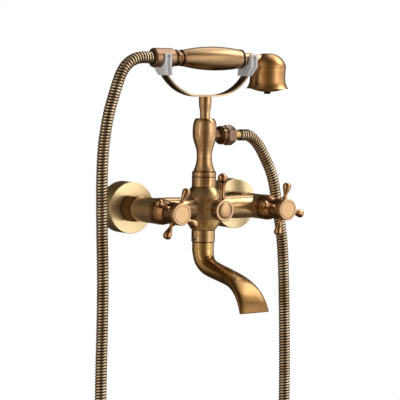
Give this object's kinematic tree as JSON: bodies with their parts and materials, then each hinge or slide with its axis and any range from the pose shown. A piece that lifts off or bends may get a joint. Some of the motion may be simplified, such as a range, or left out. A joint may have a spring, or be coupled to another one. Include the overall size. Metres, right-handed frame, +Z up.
{
  "type": "shower mixer",
  "caption": "Wall-mounted antique brass bath and shower mixer with cross handles, swivel spout, cradle, hand shower and ribbed hose.",
  "frame": {"origin": "point on the finished wall midway between the two inlet threads", "axes": "+X to the right as the user sees it, +Y into the wall, +Z up"},
  "size_m": [0.28, 0.1767, 0.7008],
  "materials": {
    "antique_brass": "brushed antique brass, darkened in the hollows, lacquered satin",
    "pale_brass": "satin pale brass",
    "machined_brass": "plain machined brass",
    "dark_bronze": "dark bronze, satin",
    "hose_bronze": "wound metal hose in dark bronze with bright crests",
    "grey_plastic": "moulded light grey plastic",
    "black_plastic": "moulded black plastic",
    "black_rubber": "black rubber",
    "ceramic": "lapped white alumina ceramic",
    "steel": "stainless steel"
  },
  "bodies": {
    "root": {"clip_left": "grey_plastic", "clip_right": "grey_plastic", "cold_bonnet": "antique_brass", "cold_cartridge": "machined_brass", "cold_union_nut": "antique_brass", "cold_wall_flange": "pale_brass", "cold_wall_union": "machined_brass", "cradle_post": "antique_brass", "cradle_screw": "antique_brass", "cradle_yoke": "antique_brass", "diverter_bonnet": "antique_brass", "diverter_cage": "machined_brass", "fixed_discs": "ceramic", "grub_screw": "steel", "hot_bonnet": "antique_brass", "hot_cartridge": "machined_brass", "hot_union_nut": "antique_brass", "hot_wall_flange": "pale_brass", "hot_wall_union": "machined_brass", "inlet_washers": "black_rubber", "main_body": "antique_brass", "outlet_ferrule": "antique_brass", "outlet_nut": "dark_bronze", "outlet_washer": "black_rubber", "riser_collar": "antique_brass", "riser_column": "antique_brass", "seat_seals": "black_rubber", "shower_hose": "hose_bronze", "spout_collar": "antique_brass"},
    "hot_handle": {"hot_spindle": "machined_brass", "hot_moving_disc": "ceramic", "hot_cross_handle": "antique_brass", "hot_handle_screw": "steel", "hot_index_cap": "pale_brass"},
    "cold_handle": {"cold_spindle": "machined_brass", "cold_moving_disc": "ceramic", "cold_cross_handle": "antique_brass", "cold_handle_screw": "steel", "cold_index_cap": "pale_brass"},
    "diverter": {"diverter_drum": "machined_brass", "diverter_lever": "antique_brass", "diverter_cap": "pale_brass", "diverter_screw": "steel"},
    "spout": {"spout": "antique_brass", "spout_seals": "black_rubber"},
    "handset": {"handset_nut": "antique_brass", "handset_washer": "black_rubber", "handset_ferrule": "machined_brass", "handset_tail": "antique_brass", "handset_grip": "antique_brass", "handset_tube": "machined_brass", "handset_ring": "black_rubber", "handset_neck": "antique_brass", "bell_head": "antique_brass", "head_gasket": "black_rubber", "spray_face": "dark_bronze", "spray_screw": "black_plastic"}
  },
  "joints": [
    {"name": "hot_turn", "type": "hinge", "parent": "root", "child": "hot_handle", "pos_m": [-0.075, -0.097, 0], "axis": [0, -1, 0], "range_deg": [0, 90]},
    {"name": "cold_turn", "type": "hinge", "parent": "root", "child": "cold_handle", "pos_m": [0.075, -0.097, 0], "axis": [0, 1, 0], "range_deg": [0, 90]},
    {"name": "diverter_turn", "type": "hinge", "parent": "root", "child": "diverter", "pos_m": [0, -0.09, 0], "axis": [0, -1, 0], "range_deg": [0, 180]},
    {"name": "spout_swivel", "type": "hinge", "parent": "root", "child": "spout", "pos_m": [0, -0.059, -0.039], "axis": [0, 0, 1], "range_deg": [-90, 90]},
    {"name": "handset_lift", "type": "slide", "parent": "root", "child": "handset", "axis": [0, 0, 1], "range_m": [0, 0.08], "deforming": ["shower_hose"]}
  ]
}
